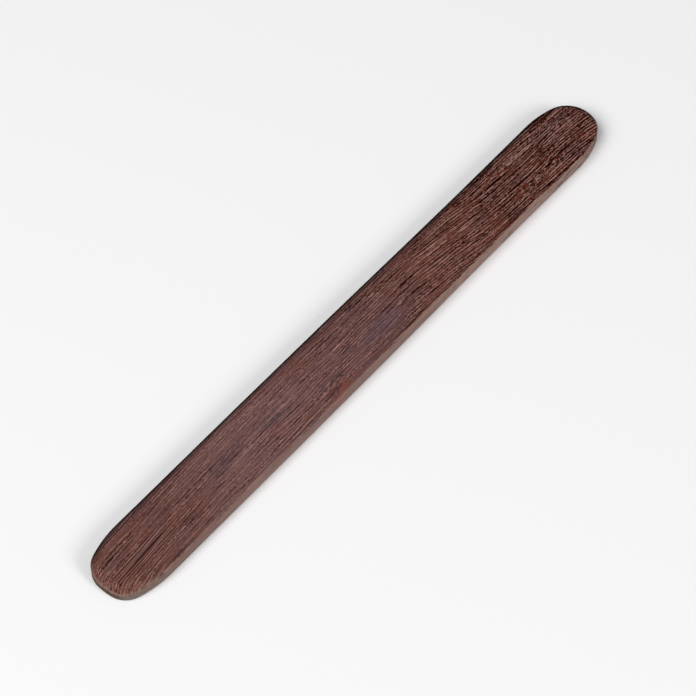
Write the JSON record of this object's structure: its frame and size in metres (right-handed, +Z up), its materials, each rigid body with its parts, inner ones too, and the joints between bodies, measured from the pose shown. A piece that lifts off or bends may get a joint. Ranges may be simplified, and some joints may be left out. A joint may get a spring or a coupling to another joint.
{
  "type": "bone folder",
  "caption": "Slim flat strip of solid dark hardwood with two rounded noses and eased edges, held in the hand to crease, burnish and score folds in paper and card.",
  "frame": {"origin": "under the middle of the strip's length and width, on the flat face that it rests on", "axes": "+X along the length, towards the slimmer nose; +Y across the width; +Z up, through the thickness"},
  "size_m": [0.203, 0.0194, 0.0052],
  "materials": {
    "oiled_hardwood": "sanded and oiled, satin, with open pores along the grain"
  },
  "bodies": {
    "root": {"folder_blade": "oiled_hardwood"}
  },
  "joints": []
}
